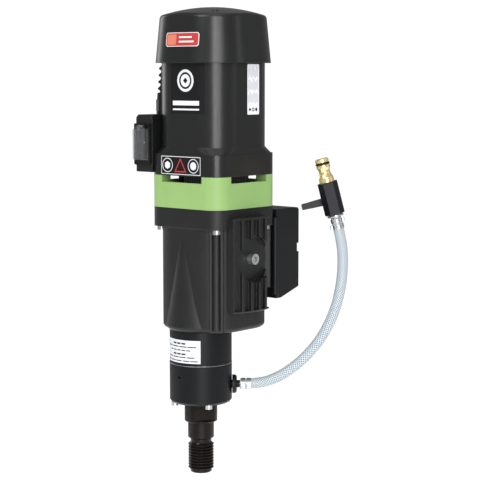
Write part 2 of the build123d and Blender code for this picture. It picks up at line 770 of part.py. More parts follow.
def make_gearbox_housing():
    """The main casting: body, front bulge, top flange, side and rear pads, corner ribs."""
    with BuildPart() as gearbox_housing:
        add(square_block(gearbox_bottom_z, gearbox_height, gearbox_half, gearbox_corner).part)
        with BuildSketch(level(spindle_centre, gearbox_bottom_z)):
            Circle(bulge_low_radius)
        with BuildSketch(level((0, spindle_axis_y - bulge_lean), flange_bottom_z - 8)):
            Circle(bulge_high_radius)
        loft()
        fillet(gearbox_housing.faces().sort_by(Axis.Z)[0].outer_wire().edges(), 6)
        add(square_block(flange_bottom_z, flange_height, ring_half, ring_corner).part)
        with BuildSketch(level(motor, side_bottom_z)):
            with Locations((side_face_x / 2, (side_front_y + side_rear_y) / 2)):
                Rectangle(side_face_x, side_rear_y - side_front_y)
        extrude(amount=side_top_z - side_bottom_z)
        with BuildSketch(level((0, 0), block_bottom_z + 2)):
            with Locations((0, (motor_axis_y + block_front_y) / 2)):
                Rectangle(2 * (block_half_width - 8), block_front_y - motor_axis_y)
        extrude(amount=block_top_z - block_bottom_z - 4)
        for quarter in range(4):
            turn = 45 + 90 * quarter
            with BuildSketch(level(motor, gearbox_bottom_z)):
                with PolarLocations(rib_reach + 8, 1, start_angle=turn):
                    Rectangle(12, 17.2)
            extrude(amount=flange_bottom_z - gearbox_bottom_z, mode=Mode.SUBTRACT)
            with BuildSketch(level(motor, gearbox_bottom_z + 3)):
                with PolarLocations(rib_reach, 1, start_angle=turn):
                    Circle(5.4)
            extrude(amount=flange_bottom_z - gearbox_bottom_z - 9.5)
        add(square_block(floor_z, plate_bottom_z - floor_z, gearbox_half - 5, 46).part, mode=Mode.SUBTRACT)
        add(square_block(plate_bottom_z, 12, plate_half + 0.1, plate_corner).part, mode=Mode.SUBTRACT)
        with BuildSketch(level(spindle_centre, floor_z)):
            Circle(32)
        extrude(amount=low_dog_z + 3 - floor_z, mode=Mode.SUBTRACT)
        with BuildSketch(level(spindle_centre, gearbox_bottom_z)):
            Circle(27)
        extrude(amount=floor_thickness, mode=Mode.SUBTRACT)
        with BuildSketch(level(layshaft_centre, floor_z)):
            Circle(17)
        extrude(amount=8)
        with BuildSketch(level(layshaft_centre, floor_z)):
            Circle(13 + 0.02)
        extrude(amount=8, mode=Mode.SUBTRACT)
        with BuildSketch(level(spindle_centre, gearbox_bottom_z)):
            with PolarLocations(collar_screw_circle, 4, start_angle=collar_screw_start):
                Circle(2.5 + running)
        extrude(amount=6.5, mode=Mode.SUBTRACT)
        with BuildSketch(level(motor, flange_bottom_z)):
            with PolarLocations(corner_screw_reach, 4, start_angle=45):
                Circle(3 + running)
        extrude(amount=flange_height, mode=Mode.SUBTRACT)
        with BuildSketch(knob_plane.offset(-30)):
            Circle(knob_shaft_radius + running)
        extrude(amount=40, mode=Mode.SUBTRACT)
        with BuildSketch(side_plane(side_screw_z)):
            Circle(4 + 0.02)
        extrude(amount=-6.3, mode=Mode.SUBTRACT)
        with BuildSketch(Plane.XZ.offset(-block_front_y)):
            with GridLocations(block_screw_x, block_screw_z, 2, 2):
                Circle(3.02)
        extrude(amount=8, mode=Mode.SUBTRACT)
    finish(gearbox_housing, "gearbox_housing")


def make_bearing_plate():
    """The plate that carries the upper bearings, set into the top of the gearbox."""
    with BuildPart() as bearing_plate:
        add(square_block(plate_bottom_z, 12, plate_half, plate_corner).part)
        with BuildSketch(level(spindle_centre, plate_bottom_z)):
            Circle(14.02)
        extrude(amount=12, mode=Mode.SUBTRACT)
        with BuildSketch(level(layshaft_centre, plate_bottom_z)):
            Circle(13.02)
        extrude(amount=9, mode=Mode.SUBTRACT)
        with BuildSketch(level(layshaft_centre, plate_bottom_z)):
            Circle(8)
        extrude(amount=12, mode=Mode.SUBTRACT)
        with BuildSketch(level(motor, plate_bottom_z)):
            Circle(input_module * pinion_teeth / 2 + 2)
            with PolarLocations(plate_half - 5, 4):
                Circle(2.5)
        extrude(amount=12, mode=Mode.SUBTRACT)
    finish(bearing_plate, "bearing_plate")


def side_plane(z):
    """The plane of the side cover's joint, facing +X, level with z."""
    return Plane(origin=(side_face_x, motor_axis_y + side_screw_y, z), x_dir=(0, 1, 0), z_dir=(1, 0, 0))


def make_side_cover():
    """The finned cover on the machine's right, with the smooth round recess of its screw."""
    height = side_top_z - side_bottom_z
    with BuildPart() as side_cover:
        with BuildSketch(level(motor, side_bottom_z)):
            Circle(fin_radius)
            with Locations((side_face_x / 2 - 50, 0)):
                Rectangle(side_face_x + 100, 3 * fin_radius, mode=Mode.SUBTRACT)
            with Locations((side_face_x, side_front_y - 50)):
                Rectangle(2 * fin_radius, 100, mode=Mode.SUBTRACT)
            with Locations((side_face_x, side_rear_y + 50)):
                Rectangle(2 * fin_radius, 100, mode=Mode.SUBTRACT)
        extrude(amount=height)
        fillet(side_cover.faces().sort_by(Axis.Z)[-1].outer_wire().edges().sort_by(Axis.X)[-1], 3)
        fillet(side_cover.faces().sort_by(Axis.Z)[0].outer_wire().edges().sort_by(Axis.X)[-1], 2)
        with BuildSketch(level(motor, side_bottom_z + 2.5)):
            with PolarLocations(fin_radius + 2 - fin_groove_depth / 2, 5,
                                start_angle=first_groove - 90, angular_range=4 * fin_pitch_angle,
                                endpoint=True):
                Rectangle(fin_groove_depth + 4, fin_groove_width)
        extrude(amount=height - 5, mode=Mode.SUBTRACT)
        with BuildSketch(side_plane(side_screw_z)):
            Circle(recess_radius)
        extrude(amount=side_recess_base)
        with BuildSketch(side_plane(side_screw_z).offset(side_recess_base)):
            Circle(recess_radius)
        extrude(amount=30, mode=Mode.SUBTRACT)
        with BuildSketch(side_plane(side_screw_z)):
            Circle(4.3)
        extrude(amount=10, mode=Mode.SUBTRACT)
    finish(side_cover, "finned_side_cover")
    finish(screw(side_plane(side_screw_z).offset(side_recess_base), 6.5, 8, 4, 8, 3.4), "side_cover_screw")


def make_block():
    """The rear block: the keyed face that bolts to the stand."""
    height = block_top_z - block_bottom_z
    with BuildPart() as mounting_block:
        with BuildSketch(Plane.YZ.offset(-block_half_width)):
            with BuildLine():
                Polyline((0, block_top_z), (block_front_y, block_top_z),
                         (block_front_y, block_bottom_z - block_front_drop),
                         (block_front_y + 9, block_bottom_z - block_front_drop), (0, block_bottom_z), close=True)
            make_face()
        extrude(amount=2 * block_half_width)
        fillet(mounting_block.edges().filter_by(Axis.X).sort_by(Axis.Z)[-2:], 4)
        for side in (-1, 1):
            with BuildSketch(level((side * (block_half_width - 1), block_front_y - 1), block_bottom_z - 6)):
                Circle(3.8)
            extrude(amount=height - 4)
            with BuildSketch(level((side * 23.5, block_front_y + 12), -30)):
                Rectangle(34, 24.1)
            extrude(amount=60, mode=Mode.SUBTRACT)
        with BuildSketch(Plane.YZ.offset(-block_half_width)):
            Rectangle(2 * key_depth, key_height)
        extrude(amount=2 * block_half_width, mode=Mode.SUBTRACT)
        with BuildSketch(Plane.XZ):
            with GridLocations(stand_spacing_x, stand_spacing_z, 2, 2):
                Circle(stand_hole_radius)
        extrude(amount=stand_hole_depth, mode=Mode.SUBTRACT)
        with BuildSketch(Plane.XZ):
            with GridLocations(block_screw_x, block_screw_z, 2, 2):
                Circle(3.1)
        extrude(amount=60, mode=Mode.SUBTRACT)
        with BuildSketch(Plane.XZ):
            with GridLocations(block_screw_x, block_screw_z, 2, 2):
                Circle(5.3)
        extrude(amount=8, mode=Mode.SUBTRACT)
    finish(mounting_block, "mounting_block")

    with BuildPart() as block_screws:
        with BuildSketch(Plane.XZ.offset(2)):
            with GridLocations(block_screw_x, block_screw_z, 2, 2):
                Circle(5)
        extrude(amount=6)
        with BuildSketch(Plane.XZ.offset(8)):
            with GridLocations(block_screw_x, block_screw_z, 2, 2):
                Circle(3)
        extrude(amount=-block_front_y - 8 + 7)
        with BuildSketch(Plane.XZ.offset(2)):
            with GridLocations(block_screw_x, block_screw_z, 2, 2):
                RegularPolygon(2.9, 6)
        extrude(amount=3.5, mode=Mode.SUBTRACT)
    finish(block_screws, "block_screws")


# ================================================================ motor casings
def make_ring():
    """The green intermediate ring: fan chamber, bearing seat and one exhaust slot in each side."""
    with BuildPart() as intermediate_ring:
        add(square_block(gearbox_top_z, ring_height, ring_half, ring_corner).part)
        with BuildSketch(level(motor, gearbox_top_z + 8)):
            Circle(ring_bore_radius)
        extrude(amount=ring_height, mode=Mode.SUBTRACT)
        with BuildSketch(level(motor, gearbox_top_z + 8)):
            Circle(21)
        extrude(amount=5)
        with BuildSketch(level(motor, lower_bearing_z)):
            Circle(17.52)
        extrude(amount=20, mode=Mode.SUBTRACT)
        with BuildSketch(level(motor, gearbox_top_z)):
            Circle(12)
        extrude(amount=20, mode=Mode.SUBTRACT)
        with BuildSketch(level(motor, ring_top_z - slot_height)):
            Rectangle(3 * ring_half, slot_length)
            Rectangle(slot_length, 3 * ring_half)
        extrude(amount=slot_height, mode=Mode.SUBTRACT)
        with BuildSketch(level(motor, gearbox_top_z)):
            with PolarLocations(corner_screw_reach, 4, start_angle=45):
                Circle(3 + running)
        extrude(amount=ring_height, mode=Mode.SUBTRACT)
    finish(intermediate_ring, "intermediate_ring")

    with BuildPart() as housing_screws:
        with BuildSketch(level(motor, flange_bottom_z - 5.5)):
            with PolarLocations(corner_screw_reach, 4, start_angle=45):
                Circle(5)
        extrude(amount=5.5)
        with BuildSketch(level(motor, flange_bottom_z)):
            with PolarLocations(corner_screw_reach, 4, start_angle=45):
                Circle(3)
        extrude(amount=ring_top_z - flange_bottom_z + 16)
        with BuildSketch(level(motor, flange_bottom_z - 5.5)):
            with PolarLocations(corner_screw_reach, 4, start_angle=45):
                RegularPolygon(2.9, 6)
        extrude(amount=3, mode=Mode.SUBTRACT)
    finish(housing_screws, "housing_screws")


def motor_form(grow=0.0):
    """The outer form of the motor housing: foot, flare and tube, grown all round."""
    with BuildPart() as form:
        add(square_block(ring_top_z, foot_height, ring_half + grow, ring_corner + grow).part)
        with BuildSketch(level(motor, foot_top_z)):
            RectangleRounded(2 * (ring_half - 0.6 + grow), 2 * (ring_half - 0.6 + grow), ring_corner + 3 + grow)
        with BuildSketch(level(motor, flare_top_z)):
            RectangleRounded(2 * (motor_half + grow), 2 * (motor_half + grow), motor_corner + grow)
        loft()
        add(square_block(flare_top_z, tube_height, motor_half + grow, motor_corner + grow).part)
    return form


def make_motor_housing():
    """The motor housing, open below and closed above by the bearing spider."""
    inner = motor_half - wall
    with BuildPart() as motor_housing:
        add(motor_form().part)
        add(square_block(ring_top_z, top_web_z - ring_top_z, inner, motor_corner - wall).part,
            mode=Mode.SUBTRACT)
        with BuildSketch(level(motor, top_web_z)):
            Circle(16.02)
        extrude(amount=upper_bearing_z + 10 - top_web_z, mode=Mode.SUBTRACT)
        with BuildSketch(level(motor, top_web_z)):
            Circle(8)
            with PolarLocations(38, 4):
                SlotOverall(34, 9, rotation=90)
        extrude(amount=30, mode=Mode.SUBTRACT)
        with BuildSketch(level(motor, ring_top_z)):
            with PolarLocations(corner_screw_reach, 4, start_angle=45):
                Circle(3.02)
        extrude(amount=16.5, mode=Mode.SUBTRACT)
        with BuildSketch(level(motor, tube_top_z)):
            with GridLocations(2 * cap_post_at, 2 * cap_post_at, 2, 2):
                Circle(2.02)
        extrude(amount=-9, mode=Mode.SUBTRACT)
    finish(motor_housing, "motor_housing")


def cap_form(inset=0.0):
    """The cap's form: a drafted rounded square under a shallow dome."""
    draft = degrees(atan2(cap_draft, cap_skirt_height))
    dome_radius = (cap_half**2 + cap_dome_height**2) / (2 * cap_dome_height)
    with BuildPart() as form:
        add(square_block(cap_rim_z, cap_skirt_height + 18, cap_half - inset, cap_corner - inset, draft).part)
        with Locations((0, motor_axis_y, cap_top_z - inset - dome_radius)):
            Sphere(dome_radius, mode=Mode.INTERSECT)
        fillet(form.faces().sort_by(Axis.Z)[-1].outer_wire().edges(), 5)
    return form


def make_cap():
    """The top cap, which overhangs the housing so that air is drawn in under its rim."""
    with BuildPart() as top_cap:
        add(cap_form().part)
        add(cap_form(cap_wall).part, mode=Mode.SUBTRACT)
        with BuildSketch(level(motor, tube_top_z)):
            with GridLocations(2 * cap_post_at, 2 * cap_post_at, 2, 2):
                Circle(5)
        extrude(amount=cap_seat_z - tube_top_z)
        with BuildSketch(level(motor, tube_top_z)):
            with GridLocations(2 * cap_post_at, 2 * cap_post_at, 2, 2):
                Circle(2.3)
        extrude(amount=60, mode=Mode.SUBTRACT)
        with BuildSketch(level(motor, cap_seat_z - 4)):
            with GridLocations(2 * cap_post_at, 2 * cap_post_at, 2, 2):
                Circle(3.8)
        extrude(amount=30, mode=Mode.SUBTRACT)
    finish(top_cap, "top_cap")

    with BuildPart() as cap_screws:
        with BuildSketch(level(motor, cap_seat_z - 4)):
            with GridLocations(2 * cap_post_at, 2 * cap_post_at, 2, 2):
                Circle(3.5)
        extrude(amount=3.5)
        with BuildSketch(level(motor, cap_seat_z - 4)):
            with GridLocations(2 * cap_post_at, 2 * cap_post_at, 2, 2):
                Circle(2)
        extrude(amount=tube_top_z - 8 - cap_seat_z + 4)
        with BuildSketch(level(motor, cap_seat_z - 0.5)):
            with GridLocations(2 * cap_post_at, 2 * cap_post_at, 2, 2):
                RegularPolygon(1.7, 6)
        extrude(amount=-2, mode=Mode.SUBTRACT)
    finish(cap_screws, "cap_screws")


# ================================================================ motor inside
def make_motor_inside():
    """Stator, windings, brush gear, air guide and electronics."""
    stator_half = motor_half - wall - slip
    with BuildPart() as stator_core:
        add(square_block(core_bottom_z, rotor_core_height, stator_half, motor_corner - wall - slip).part)
        with BuildSketch(level(motor, core_bottom_z)):
            Circle(rotor_core_radius + air_gap)
            with Locations((0, 33), (0, -33)):
                Rectangle(44, 9, mode=Mode.ADD)
        extrude(amount=rotor_core_height, mode=Mode.SUBTRACT)
    finish(stator_core, "stator_core")

    with BuildPart() as field_windings:
        for side in (-1, 1):
            with BuildSketch(level(motor, core_bottom_z - 13)):
                with Locations((0, side * 34)):
                    RectangleRounded(43, 6, 2.5)
            extrude(amount=rotor_core_height + 26)
            for end in (core_bottom_z - 13, core_top_z + slip):
                with BuildSketch(level(motor, end)):
                    with Locations((0, side * 36)):
                        RectangleRounded(56, 13, 4)
                extrude(amount=13 - slip)
    finish(field_windings, "field_windings")

    with BuildPart() as armature_windings:
        for end in (core_bottom_z - 12, core_top_z):
            with BuildSketch(level(motor, end)):
                Circle(rotor_core_radius - 3)
                Circle(rotor_shaft_radius + 2 + running, mode=Mode.SUBTRACT)
            extrude(amount=12)
        chamfer(armature_windings.edges().filter_by(GeomType.CIRCLE).group_by(Axis.Z)[0], 2)
    finish(armature_windings, "armature_windings")

    brush_z = commutator_z + commutator_height / 2
    for_brushes = Plane(origin=(0, motor_axis_y, brush_z), x_dir=(0, 1, 0), z_dir=(1, 0, 0))
    with BuildPart() as brush_holders:
        for side in (-1, 1):
            start = for_brushes.offset(side * (commutator_radius + 2))
            with BuildSketch(start):
                with Locations((0, (top_web_z - brush_z - 8) / 2)):
                    Rectangle(12, top_web_z - brush_z + 8)
            extrude(amount=side * 24)
            with BuildSketch(start):
                Rectangle(6.4, 10.4)
            extrude(amount=side * 22, mode=Mode.SUBTRACT)
    finish(brush_holders, "brush_holders")

    with BuildPart() as carbon_brushes:
        for side in (-1, 1):
            with BuildSketch(for_brushes.offset(side * (commutator_radius + brush_gap))):
                Rectangle(6, 10)
            extrude(amount=side * 14)
    finish(carbon_brushes, "carbon_brushes")

    with BuildPart() as brush_springs:
        for side in (-1, 1):
            first = commutator_radius + brush_gap + 14
            last = commutator_radius + 2 + 22
            with BuildSketch(for_brushes.offset(side * first)):
                Circle(2.4)
                Circle(1.4, mode=Mode.SUBTRACT)
            extrude(amount=side * (last - first))
    finish(brush_springs, "brush_springs")

    finish(washer(motor, ring_top_z + 1, 2.5, motor_half - wall - slip, 33), "air_guide")

    with BuildPart() as electronics_module:
        with BuildSketch(level(motor, tube_top_z + 6)):
            RectangleRounded(56, 48, 4)
        extrude(amount=1.6)
        with BuildSketch(level(motor, tube_top_z)):
            with GridLocations(46, 38, 2, 2):
                Circle(2.5)
        extrude(amount=6)
        with BuildSketch(level(motor, tube_top_z + 7.6)):
            with Locations((-14, 8)):
                RectangleRounded(20, 22, 2)
        extrude(amount=14)
        with BuildSketch(level(motor, tube_top_z + 7.6)):
            with Locations((12, 8)):
                Circle(9)
                Circle(4, mode=Mode.SUBTRACT)
        extrude(amount=8)
        with BuildSketch(level(motor, tube_top_z + 7.6)):
            with Locations((8, -14)):
                Rectangle(30, 10)
        extrude(amount=10)
    finish(electronics_module, "electronics_module")


# ================================================================ switch box
def make_switch_box():
    """The box on the machine's left, with its lid, bezel, rocker, clear cover and cable gland."""
    depth = box_depth
    with BuildPart() as switch_box:
        with BuildSketch(level((0, 0), box_bottom_z)):
            with Locations(((box_left_x + box_right_x) / 2, box_front_y + depth / 2)):
                Rectangle(box_right_x - box_left_x, depth)
        extrude(amount=box_top_z - box_bottom_z)
        chamfer(switch_box.edges().filter_by(Axis.Y).sort_by(Axis.Z)[-2:].sort_by(Axis.X)[0], 5)
        fillet(switch_box.edges().filter_by(Axis.Z).sort_by(Axis.X)[0:2], 2)
        add(motor_form(0.1).part, mode=Mode.SUBTRACT)
        with BuildSketch(level((0, 0), box_bottom_z + box_wall)):
            with Locations((box_left_x + 10.5, box_front_y + depth / 2)):
                Rectangle(15, depth - 2 * box_wall)
        extrude(amount=box_top_z - box_bottom_z - 2 * box_wall - 3, mode=Mode.SUBTRACT)
        with BuildSketch(bezel_plane):
            Rectangle(15, 40)
        extrude(amount=-14, mode=Mode.SUBTRACT)
        with BuildSketch(level(gland_centre, box_top_z)):
            Circle(5)
        extrude(amount=-12, mode=Mode.SUBTRACT)
    finish(switch_box, "switch_box")

    with BuildPart() as switch_bezel:
        with BuildSketch(bezel_plane):
            RectangleRounded(bezel_width, bezel_top_z - bezel_bottom_z, 2)
            Rectangle(11.6, 34, mode=Mode.SUBTRACT)
        extrude(amount=bezel_depth)
        with BuildSketch(bezel_plane.offset(-9)):
            Rectangle(14.6, 39)
            Rectangle(11.6, 34, mode=Mode.SUBTRACT)
        extrude(amount=9)
        with BuildSketch(bezel_plane.offset(-9)):
            Rectangle(14.6, 39)
        extrude(amount=-2)
    finish(switch_bezel, "switch_bezel")

    rocker_side = Plane(origin=(bezel_x - 5.5, box_front_y + 1, bezel_z), x_dir=(0, 1, 0), z_dir=(1, 0, 0))
    with BuildPart() as rocker_switch:
        with BuildSketch(rocker_side.rotated((-rocker_tilt, 0, 0))):
            with BuildLine():
                Polyline((-3, -14), (-1.5, 0), (-3, 14), (2.5, 14), (4.2, 3), (4.2, -3), (2.5, -14), close=True)
            make_face()
        extrude(amount=11)
        with BuildSketch(rocker_side.offset(-0.2)):
            Circle(1.2)
        extrude(amount=11.4)
    finish(rocker_switch, "rocker_switch")

    with BuildPart() as switch_cover:
        with BuildSketch(bezel_plane.offset(bezel_depth + 0.1)):
            RectangleRounded(cover_width, cover_height, 3)
        extrude(amount=6)
        fillet(switch_cover.faces().sort_by(Axis.Y)[0].edges(), 1.5)
        with BuildSketch(bezel_plane.offset(bezel_depth)):
            Rectangle(cover_width - 3, cover_height - 3)
        extrude(amount=5, mode=Mode.SUBTRACT)
        with BuildSketch(hinge_side.offset(-6)):
            Circle(2)
            with Locations((-0.5, -1.7)):
                Rectangle(3, 3.4)
        extrude(amount=12)
        with BuildSketch(hinge_side.offset(-10)):
            Circle(1 + running)
        extrude(amount=20, mode=Mode.SUBTRACT)
    finish(switch_cover, "switch_cover")

    with BuildPart() as cover_hinge_pin:
        with BuildSketch(hinge_side.offset(-9)):
            Circle(1)
        extrude(amount=18)
        for end in (-9, 6.2):
            with BuildSketch(hinge_side.offset(end)):
                Circle(2)
                with Locations((1.1, 0)):
                    Rectangle(2.2, 4)
            extrude(amount=2.8)
    finish(cover_hinge_pin, "cover_hinge_lugs")


def make_gland():
    """The cable gland and its ribbed kink boot, which stand on top of the switch box."""
    with BuildPart() as cable_gland:
        with BuildSketch(level(gland_centre, box_top_z)):
            Circle(10.4)
        extrude(amount=3.5)
        with BuildSketch(level(gland_centre, box_top_z + 3.5)):
            RegularPolygon(11.2, 6, rotation=30)
        extrude(amount=14)
        with BuildSketch(level(gland_centre, box_top_z)):
            Circle(4.95)
        extrude(amount=-8)
        with BuildSketch(level(gland_centre, box_top_z)):
            Circle(4)
        extrude(amount=40, both=True, mode=Mode.SUBTRACT)
    finish(cable_gland, "cable_gland")

    boot_z = box_top_z + 17.5
    outline = [(4, boot_z), (9.6, boot_z), (9.2, boot_z + 8)]
    for rib in range(4):
        z = boot_z + 9 + 8.2 * rib
        r = 8.6 - 0.55 * rib
        outline += [(r - 2.6, z), (r - 2.6, z + 2), (r, z + 3.6), (r, z + 5.4), (r - 2.2, z + 7.2)]
    outline += [(4, boot_z + 9 + 8.2 * 4)]
    finish(turned(gland_centre, outline), "kink_boot")


# ================================================================ hose and valve
def hose_point(reach, z):
    """A point of the hose's upright plane, by its reach from the spindle axis."""
    out = bearing_of(inlet_azimuth)
    return (reach * out[0], spindle_axis_y + reach * out[1], z)


def arc_radii(points):
    """Tangent arcs as large as the runs beside each corner allow."""
    found = []
    for before, corner, after in zip(points, points[1:], points[2:]):
        first = Vector(*corner) - Vector(*before)
        second = Vector(*after) - Vector(*corner)
        turn = radians(first.get_angle(second))
        found.append(0.45 * min(first.length, second.length) / tan(turn / 2))
    return found


def make_hose():
    """The water hose, which keeps its own curve, and the clamps at its two ends."""
    route = [hose_point(reach, z) for reach, z in hose_route]
    radii = arc_radii(route)
    print("hose arc radii", [round(r) for r in radii])
    with BuildPart() as water_hose:
        with BuildLine() as path:
            FilletPolyline(*route, radius=radii)
        with BuildSketch(Plane(origin=path.line @ 0, z_dir=path.line % 0)):
            Circle(hose_radius)
        sweep()
    length = sum(edge.length for edge in path.edges())
    share = water_hose.part.volume / (pi * hose_radius**2 * length)
    print("hose length", round(length, 1), "volume share", round(share, 4))
    finish(water_hose, "water_hose")
    start = Plane(origin=route[0], z_dir=Vector(*route[1]) - Vector(*route[0]), x_dir=(0, 0, 1))
    end = Plane(origin=route[-1], z_dir=Vector(*route[-2]) - Vector(*route[-1]), x_dir=valve_plane.x_dir)
    with BuildPart() as hose_clamps:
        add(hose_clamp(start).part)
        add(hose_clamp(end).part)
    finish(hose_clamps, "hose_clamps")


def hose_clamp(plane):
    """Two crimped bands with an ear each, round the end of the hose."""
    with BuildPart() as clamp:
        for at, ear in ((1.5, 1), (8.5, -1)):
            with BuildSketch(plane.offset(at)):
                Circle(hose_radius + 0.9)
                with Locations((0, ear * (hose_radius + 1.6))):
                    RectangleRounded(4, 3.4, 1)
                Circle(hose_radius + running, mode=Mode.SUBTRACT)
            extrude(amount=5)
    return clamp


def make_valve():
    """The ball valve with its ball, stem, lever and brass hose nipple."""
    hexagon = valve_across_corners / 2
    flat = hexagon * cos(pi / 6)
    with BuildPart() as hose_tail:
        with BuildSketch(valve_plane.offset(-1)):
            Circle(10)
        extrude(amount=-1.6)
        with BuildSketch(valve_plane.offset(-1)):
            Circle(5.2)
        extrude(amount=-3)
        with BuildSketch(valve_plane.offset(-1)):
            Circle(6.9)
        extrude(amount=7)
        with BuildSketch(valve_plane.offset(-6)):
            Circle(3)
        extrude(amount=14, mode=Mode.SUBTRACT)
    finish(hose_tail, "hose_tail")

    with BuildPart() as valve_body:
        with BuildSketch(valve_plane):
            RegularPolygon(hexagon, 6, rotation=30)
        extrude(amount=valve_length)
        chamfer(valve_body.faces().filter_by(Plane(valve_plane.origin, z_dir=valve_plane.z_dir)).edges(), 0.8)
        with BuildSketch(valve_plane):
            Circle(6.92)
        extrude(amount=6, mode=Mode.SUBTRACT)
        with BuildSketch(valve_plane):
            Circle(4)
        extrude(amount=valve_length, mode=Mode.SUBTRACT)
        with BuildSketch(valve_plane.offset(valve_length - 8)):
            Circle(6.92)
        extrude(amount=8, mode=Mode.SUBTRACT)
        with Locations(valve_plane.offset(lever_height)):
            Sphere(ball_radius + running, mode=Mode.SUBTRACT)
        with BuildSketch(stem_plane):
            Circle(2 + running)
        extrude(amount=flat + 1, mode=Mode.SUBTRACT)
    finish(valve_body, "valve_body")

    with BuildPart() as valve_ball:
        with Locations(valve_plane.offset(lever_height)):
            Sphere(ball_radius)
        with BuildSketch(Plane(origin=stem_plane.origin, z_dir=valve_plane.y_dir)):
            Circle(3.2)
        extrude(amount=2 * ball_radius, both=True, mode=Mode.SUBTRACT)
        with BuildSketch(stem_plane.offset(ball_radius - 1)):
            Circle(2)
        extrude(amount=flat + 3.2 - ball_radius + 1)
        with BuildSketch(stem_plane.offset(flat + 3.2)):
            Circle(1.02)
        extrude(amount=-6, mode=Mode.SUBTRACT)
    finish(valve_ball, "valve_ball")

    with BuildPart() as valve_lever:
        with BuildSketch(stem_plane.offset(flat + slip)):
            Circle(6)
            with BuildLine():
                Polyline((-5, 2), (-4.2, 24), (-3.4, 36), (3.4, 36), (4.2, 24), (5, 2), close=True)
            make_face()
        extrude(amount=3)
        with BuildSketch(stem_plane.offset(flat + slip)):
            with Locations((0, 31)):
                RectangleRounded(7.4, 12, 1.5)
        extrude(amount=5)
        with BuildSketch(stem_plane.offset(flat)):
            Circle(2.02)
        extrude(amount=8, mode=Mode.SUBTRACT)
    finish(valve_lever, "valve_lever")
    finish(screw(stem_plane.offset(flat + 3.5), 3.6, 2.4, 1, 5, 1.4), "lever_screw")

    outline = [
        (3.5, -7.5), (6.8, -7.5), (6.8, 0), (9.2, 0), (9.0, 6), (7.2, 10), (6.7, 13), (7.0, 15), (8.5, 18),
        (8.5, 21.2), (6.8, 21.6), (6.8, 24.4), (8.3, 24.8), (8.3, 28), (7.2, 29.2), (3.5, 29.2),
    ]
    top = valve_plane.offset(valve_length)
    with BuildPart() as brass_nipple:
        with BuildSketch(Plane(origin=top.origin, x_dir=top.x_dir, z_dir=-top.y_dir)):
            with BuildLine():
                Polyline(*outline, close=True)
            make_face()
        revolve(axis=Axis(top.origin, top.z_dir))
    finish(brass_nipple, "brass_nipple")


# ================================================================ the whole machine
def tilted(along):
    """A point on the valve's axis, as (reach, height), at a distance above the valve's base."""
    lean = radians(valve_tilt)
    return (valve_base[0] - along * sin(lean), valve_base[1] + along * cos(lean))


hose_route = [(hose_start_reach, inlet_z), *hose_bends, tilted(-33), tilted(-4)]
valve_away = Vector(-bearing_of(inlet_azimuth)[1], bearing_of(inlet_azimuth)[0], 0)
valve_up = Vector(*hose_point(*tilted(1))) - Vector(*hose_point(*tilted(0)))
valve_plane = Plane(origin=hose_point(*valve_base), x_dir=valve_away, z_dir=valve_up)
stem_plane = Plane(origin=valve_plane.offset(lever_height).origin, x_dir=valve_up * -1, z_dir=valve_away)

os.makedirs("parts", exist_ok=True)
make_rotor_shaft()
make_rotor_core()
make_commutator()
make_cooling_fan()
make_layshaft()
make_low_gear()
make_high_gear()
make_dog_sleeve()
make_spindle()
make_selector()
make_bearings()
make_seals()
make_neck()
make_collar()
make_inlet()
make_gearbox_housing()
make_bearing_plate()
make_side_cover()
make_block()
make_ring()
make_motor_housing()
make_cap()
make_motor_inside()
make_switch_box()
make_gland()
make_hose()
make_valve()
print(len(parts_made), "nodes")
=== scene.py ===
from math import ceil, cos, hypot, pi, radians, sin

import bpy
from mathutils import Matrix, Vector


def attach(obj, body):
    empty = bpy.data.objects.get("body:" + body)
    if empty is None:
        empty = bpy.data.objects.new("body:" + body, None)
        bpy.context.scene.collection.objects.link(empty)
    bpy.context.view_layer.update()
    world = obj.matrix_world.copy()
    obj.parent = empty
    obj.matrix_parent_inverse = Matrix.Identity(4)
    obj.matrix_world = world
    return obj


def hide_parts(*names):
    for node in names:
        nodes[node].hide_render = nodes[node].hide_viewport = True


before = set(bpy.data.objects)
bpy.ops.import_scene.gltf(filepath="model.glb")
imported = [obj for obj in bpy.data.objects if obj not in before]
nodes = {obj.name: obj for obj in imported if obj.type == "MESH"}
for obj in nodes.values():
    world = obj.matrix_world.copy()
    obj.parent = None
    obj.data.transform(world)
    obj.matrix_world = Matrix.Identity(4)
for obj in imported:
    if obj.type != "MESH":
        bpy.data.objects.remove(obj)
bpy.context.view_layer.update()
scene = bpy.context.scene
MM = 0.001


# ---------------------------------------------------------------- camera
def look_from(obj, place, target):
    """Put an object at a place and turn its -Z towards a target."""
    obj.location = place
    obj.rotation_euler = (Vector(target) - Vector(place)).to_track_quat("-Z", "Y").to_euler()


def heading(azimuth, elevation):
    """The direction at an azimuth, counted from -Y towards +X, and an elevation, both in radians."""
    return Vector((sin(azimuth) * cos(elevation), -cos(azimuth) * cos(elevation), sin(elevation)))


AZIMUTH = radians(41)
ELEVATION = radians(6.3)
DISTANCE = 1.826
FOCAL_LENGTH = 112.5
SENSOR_WIDTH = 36
TARGET = Vector((0.0363, -0.0944, 0.0154))
towards_camera = heading(AZIMUTH, ELEVATION)
camera_data = bpy.data.cameras.new("camera")
camera_data.lens = FOCAL_LENGTH
camera_data.sensor_width = SENSOR_WIDTH
camera = bpy.data.objects.new("camera", camera_data)
scene.collection.objects.link(camera)
look_from(camera, TARGET + DISTANCE * towards_camera, TARGET)
scene.camera = camera
scene.view_settings.view_transform = "Standard"


# ---------------------------------------------------------------- materials
MOTTLE_SCALE = 28.0
TONE_STOPS = (0.3, 0.7)
RELIEF_DEPTH = 0.0004
GLOSSIEST = 0.02


def links(tree, *pairs):
    """Join each output socket to its input socket."""
    for output, into in pairs:
        tree.links.new(output, into)


